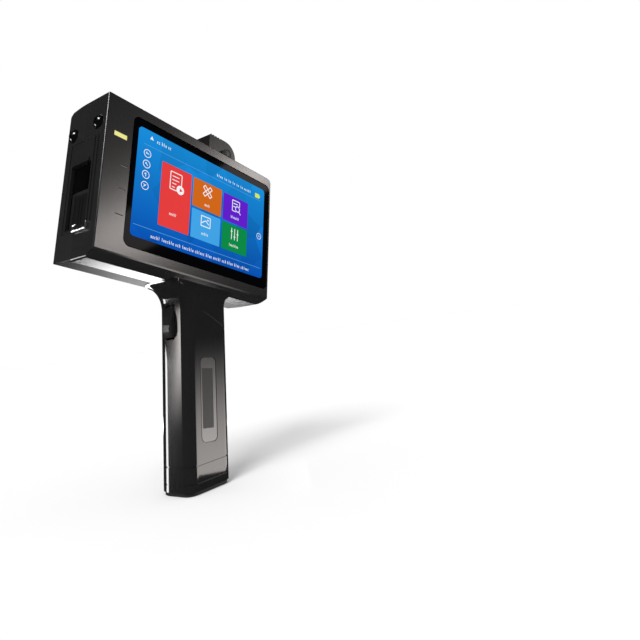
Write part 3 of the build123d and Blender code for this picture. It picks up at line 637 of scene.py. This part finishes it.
class CODER_OT_screen_icons(bpy.types.Operator):
    """White line icons and made-up words on the screen"""
    bl_idname = "coder.screen_icons"
    bl_label = "Screen icons"

    def start_icon(self, w):
        """Sheet of lines with a play button."""
        x, z = 49.6, 55.6
        parts = [plate(x - 4.3, z, w, 11.0, LINE), plate(x + 4.3, z + 1.9, w, 7.2, LINE)]
        parts += [plate(x, z + 5.6, 8.6, w, LINE), plate(x - 1.6, z - 5.6, 5.4, w, LINE)]
        for i, width in enumerate((5.2, 5.2, 3.2, 2.2)):
            parts.append(plate(x - 2.9 + width / 2, z + 3.0 - 2.3 * i, width, w * 0.9, LINE))
        parts.append(disc(x + 3.6, z - 4.2, 2.9, LINE))
        return parts

    def edit_icon(self, w):
        """Pencil crossed with a rule."""
        x, z = 75.2, 58.6
        half_width, half_length = 1.1, 4.2
        sides, ends = [], []
        for turn in (45.0, -45.0):
            across, along = math.sin(math.radians(turn)), math.cos(math.radians(turn))
            for way in (-1.0, 1.0):
                sides.append((x + way * half_width * across, z + way * half_width * along, turn))
                ends.append((x + way * half_length * along, z - way * half_length * across, turn))
        parts = stamp_all(plate(0.0, 0.0, half_length * 2, w, LINE), sides)
        return parts + stamp_all(plate(0.0, 0.0, w, 2.6, LINE), ends)

    def preview_icon(self, w):
        """Page with a magnifier."""
        x, z = 101.2, 57.6
        parts = [plate(x - 3.4, z, w, 7.6, LINE), plate(x + 3.4, z + 2.0, w, 3.6, LINE),
                 plate(x, z + 3.8, 6.8, w, LINE), plate(x - 1.6, z - 3.8, 3.6, w, LINE),
                 plate(x - 0.4, z + 1.6, 4.2, w, LINE), plate(x - 1.6, z - 0.6, 2.0, w, LINE)]
        parts.append(ring(x + 1.6, z - 1.6, 1.9, w, LINE))
        parts.append(plate(x + 3.7, z - 3.9, 2.6, w, LINE, turn=45.0))
        return parts

    def image_icon(self, w):
        """Framed picture with a hill line."""
        x, z = 75.0, 38.0
        parts = [plate(x, z + 3.3, 7.6, w, LINE), plate(x, z - 3.3, 7.6, w, LINE),
                 plate(x - 3.8, z, w, 7.0, LINE), plate(x + 3.8, z, w, 7.0, LINE),
                 plate(x - 1.8, z - 0.4, 3.6, w, LINE, turn=-35.0),
                 plate(x + 1.2, z - 0.2, 3.6, w, LINE, turn=38.0),
                 disc(x + 1.8, z + 1.5, 0.6, LINE)]
        return parts

    def setup_icon(self, w):
        """Three sliders."""
        x, z = 101.0, 37.4
        columns = (x - 2.8, x, x + 2.8)
        parts = stamp_all(plate(0.0, 0.0, w, 8.0, LINE), [(column, z) for column in columns])
        heights = (z + 1.6, z - 1.8, z + 0.6)
        parts += stamp_all(plate(0.0, 0.0, 1.6, w * 1.2, LINE), zip(columns, heights))
        return parts

    def side_icons(self, w):
        """Four round buttons down the left and one at the right."""
        x = 27.8
        rows = (64.9, 58.3, 51.8, 45.0)
        turns = (0.0, 45.0, 90.0, 135.0)
        parts = stamp_all(ring(0.0, 0.0, 2.35, w, LINE), [(x, z) for z in rows])
        parts += stamp_all(plate(0.0, 0.0, 2.4, w, LINE), zip((x,) * 4, rows, turns))
        parts += stamp_all(plate(0.0, 0.0, 1.2, w, LINE),
                           [(x - 0.5, z + 0.5, turn + 80.0) for z, turn in zip(rows, turns)])
        parts.append(ring(125.0, 43.4, 2.1, w, LINE))
        parts.append(plate(125.0, 43.4, 1.6, w, LINE, turn=30.0))
        return parts

    def execute(self, context):
        w = context.scene.coder_screen.line_width / MM
        white = lit("lit_white", linear("f4f7fb"), context.scene.coder_screen.brightness)
        groups = (
            ("icon_start", self.start_icon(w)), ("icon_edit", self.edit_icon(w)),
            ("icon_preview", self.preview_icon(w)), ("icon_image", self.image_icon(w)),
            ("icon_setup", self.setup_icon(w)), ("icon_sides", self.side_icons(w * 0.7)),
            ("rows_labels", text_rows("labels")),
            ("rows_header", text_rows("header") + [disc(30.0, 75.4, 1.5, LINE, vertices=3)]),
            ("rows_footer", text_rows("footer")),
        )
        for name, parts in groups:
            hand_over(join(parts, name), PICTURE, "frame", white)
        play = disc(53.5, 51.4, 1.5, PLAY, vertices=3, turn=-30.0)
        play.name = "icon_play"
        hand_over(play, PICTURE, "frame",
                  lit("lit_play", linear("e8403f"), context.scene.coder_screen.brightness))
        return {"FINISHED"}


# ---------------------------------------------------------------- stage
CAMERA_AT = (-155.1, -253.6, -91.8)     # in the head's frame, millimetres
YAW = math.radians(54.887)
PITCH = math.radians(13.727)
ROLL = math.radians(0.26)
SENSOR = 36.0                           # millimetres across
FOCAL = 31.612                          # millimetres
SHIFT = (-0.006844, -0.036609)          # share of the frame's width
KEY_DIRECTION = (0.62, 0.16, -0.80)
FLOOR_SIDE = 30.0                       # metres
FLOOR_Z = -0.0002
# softboxes that polished surfaces reflect: places and sizes in millimetres, in the head's frame
SOFTBOXES = {
    "fascia_box": dict(place=(660, -700, 424), target=(68, 0, 44), size=(570, 95), turn=21.0,
                       radiance=7.0, colour=(1.0, 0.93, 0.90)),
    "under_box": dict(place=(232, 240, -86), target=(202, 240, 44), size=(84, 260),
                      radiance=8.0, colour=(1.0, 1.0, 1.0)),
    "face_box": dict(place=(131, -42, -70), target=(92, 3.6, -70), size=(80, 98),
                     radiance=3.2, colour=(1.0, 0.94, 0.91), top=0.0),
    "flare_box": dict(place=(-500, 672, -90), target=(70, 15, -90), size=(20, 270),
                      radiance=10.0, colour=(1.0, 0.95, 0.93), bottom=0.0),
    "edge_box": dict(place=(-372, 805, -185), target=(75, 25, -185), size=(255, 310),
                     radiance=8.0, colour=(1.0, 1.0, 1.0)),
}


def area_light(name, strength, place, target, size, radiance, colour, turn=0.0, bottom=1.0, top=1.0):
    """Soft rectangular light aimed at a point and seen only in polished surfaces."""
    data = bpy.data.lights.new(name, "AREA")
    data.shape = "RECTANGLE"
    data.size = size[0] * MM
    data.size_y = size[1] * MM
    data.energy = strength * radiance * math.pi * data.size * data.size_y
    data.color = colour
    light = bpy.data.objects.new(name, data)
    bpy.context.scene.collection.objects.link(light)
    centre = HEAD @ (Vector(place) * MM)
    aim = HEAD @ (Vector(target) * MM) - centre
    facing = aim.to_track_quat("-Z", "Y").to_matrix().to_4x4()
    light.matrix_world = (Matrix.Translation(centre) @ facing
                          @ Matrix.Rotation(math.radians(turn), 4, "Z"))
    light.visible_camera = False
    light.visible_diffuse = False
    if bottom != top:
        fade_light(data, bottom, top)
    return light


def fade_light(data, bottom, top):
    """Blend a light's strength from its bottom to its top."""
    data.use_nodes = True
    tree = data.node_tree
    place = tree.nodes.new("ShaderNodeNewGeometry")
    split = tree.nodes.new("ShaderNodeSeparateXYZ")
    tree.links.new(place.outputs["Parametric"], split.inputs[0])
    span = tree.nodes.new("ShaderNodeMapRange")
    span.interpolation_type = "SMOOTHSTEP"
    span.inputs["To Min"].default_value = bottom
    span.inputs["To Max"].default_value = top
    tree.links.new(split.outputs["Y"], span.inputs["Value"])
    tree.links.new(span.outputs["Result"], tree.nodes["Emission"].inputs["Strength"])


class CODER_OT_stage(bpy.types.Operator):
    """Pale floor, soft lights and the camera"""
    bl_idname = "coder.stage"
    bl_label = "Stage"

    def add_floor(self, settings):
        """Wide pale floor just under the foot."""
        deselect()
        bpy.ops.mesh.primitive_plane_add(size=FLOOR_SIDE, location=(0.0, 0.0, FLOOR_Z))
        floor = bpy.context.active_object
        floor.name = "studio_floor"
        material, tree, shader = new_material("studio_floor", tuple(settings.floor_colour))
        shader.inputs["Roughness"].default_value = 0.9
        shader.inputs["Specular IOR Level"].default_value = 0.1
        floor.data.materials.append(material)
        floor.visible_glossy = False

    def add_world(self, settings):
        """White surroundings, which polished surfaces see as a dark room."""
        world = bpy.data.worlds.new("studio_air")
        bpy.context.scene.world = world
        world.use_nodes = True
        tree = world.node_tree
        tree.nodes.clear()
        out = tree.nodes.new("ShaderNodeOutputWorld")
        path = tree.nodes.new("ShaderNodeLightPath")
        strengths = (settings.fill, settings.room_gloss, 1.0)
        airs = []
        for strength in strengths:
            air = tree.nodes.new("ShaderNodeBackground")
            air.inputs["Color"].default_value = (1.0, 1.0, 1.0, 1.0)
            air.inputs["Strength"].default_value = strength
            airs.append(air)
        gloss_mix = tree.nodes.new("ShaderNodeMixShader")
        tree.links.new(path.outputs["Is Glossy Ray"], gloss_mix.inputs["Fac"])
        tree.links.new(airs[0].outputs[0], gloss_mix.inputs[1])
        tree.links.new(airs[1].outputs[0], gloss_mix.inputs[2])
        camera_mix = tree.nodes.new("ShaderNodeMixShader")
        tree.links.new(path.outputs["Is Camera Ray"], camera_mix.inputs["Fac"])
        tree.links.new(gloss_mix.outputs[0], camera_mix.inputs[1])
        tree.links.new(airs[2].outputs[0], camera_mix.inputs[2])
        tree.links.new(camera_mix.outputs[0], out.inputs["Surface"])

    def add_lights(self, settings):
        """Softboxes for the gloss and a wide sun for the shadow."""
        for name, box in SOFTBOXES.items():
            area_light(name, settings.box_strength, **box)
        data = bpy.data.lights.new("key_sun", "SUN")
        data.energy = settings.key_strength
        data.angle = settings.key_softness
        sun = bpy.data.objects.new("key_sun", data)
        bpy.context.scene.collection.objects.link(sun)
        sun.rotation_euler = Vector(KEY_DIRECTION).to_track_quat("-Z", "Y").to_euler()

    def add_camera(self):
        """Camera low at the nozzle end's front corner."""
        forward = Vector((math.sin(YAW) * math.cos(PITCH), math.cos(YAW) * math.cos(PITCH), math.sin(PITCH)))
        right = Vector((math.cos(YAW), -math.sin(YAW), 0.0))
        up = right.cross(forward)
        turned_right = math.cos(ROLL) * right + math.sin(ROLL) * up
        turned_up = -math.sin(ROLL) * right + math.cos(ROLL) * up
        pose = Matrix((turned_right, turned_up, -forward)).transposed().to_4x4()
        pose.translation = Vector(CAMERA_AT) * MM
        data = bpy.data.cameras.new("studio_camera")
        camera = bpy.data.objects.new("studio_camera", data)
        bpy.context.scene.collection.objects.link(camera)
        data.sensor_width = SENSOR
        data.lens = FOCAL
        data.shift_x = SHIFT[0]
        data.shift_y = SHIFT[1]
        data.clip_start = 0.01
        camera.matrix_world = HEAD @ pose
        bpy.context.scene.camera = camera

    def execute(self, context):
        settings = context.scene.coder_stage
        self.add_floor(settings)
        self.add_world(settings)
        self.add_lights(settings)
        self.add_camera()
        context.scene.view_settings.view_transform = "Standard"
        return {"FINISHED"}


# ---------------------------------------------------------------- panel
STEPS = (
    CODER_OT_stage,
    CODER_OT_shell_finish,
    CODER_OT_inner_finish,
    CODER_OT_screen_glass,
    CODER_OT_screen_picture,
    CODER_OT_screen_icons,
)


class CODER_PT_panel(bpy.types.Panel):
    """Sidebar list of the printer's pieces"""
    bl_idname = "CODER_PT_panel"
    bl_label = "Date Coder"
    bl_space_type = "VIEW_3D"
    bl_region_type = "UI"
    bl_category = "Date Coder"

    def draw(self, context):
        layout = self.layout
        for step in STEPS:
            layout.operator(step.bl_idname)
        for settings in (context.scene.coder_shell, context.scene.coder_screen, context.scene.coder_stage):
            column = layout.column()
            for key in settings.bl_rna.properties.keys():
                if key not in {"rna_type", "name"}:
                    column.prop(settings, key)


GROUP_TYPES = (ShellSettings, ScreenSettings, StageSettings)


def register():
    """Add the classes and their settings."""
    for kind in GROUP_TYPES + STEPS + (CODER_PT_panel,):
        bpy.utils.register_class(kind)
    bpy.types.Scene.coder_shell = bpy.props.PointerProperty(type=ShellSettings)
    bpy.types.Scene.coder_screen = bpy.props.PointerProperty(type=ScreenSettings)
    bpy.types.Scene.coder_stage = bpy.props.PointerProperty(type=StageSettings)


def unregister():
    """Remove the settings and the classes."""
    for name in ("coder_shell", "coder_screen", "coder_stage"):
        delattr(bpy.types.Scene, name)
    for kind in reversed(GROUP_TYPES + STEPS + (CODER_PT_panel,)):
        bpy.utils.unregister_class(kind)


def main():
    """Run every step in order."""
    register()
    for step in STEPS:
        group, name = step.bl_idname.split(".")
        getattr(getattr(bpy.ops, group), name)()


if __name__ == "__main__":
    main()
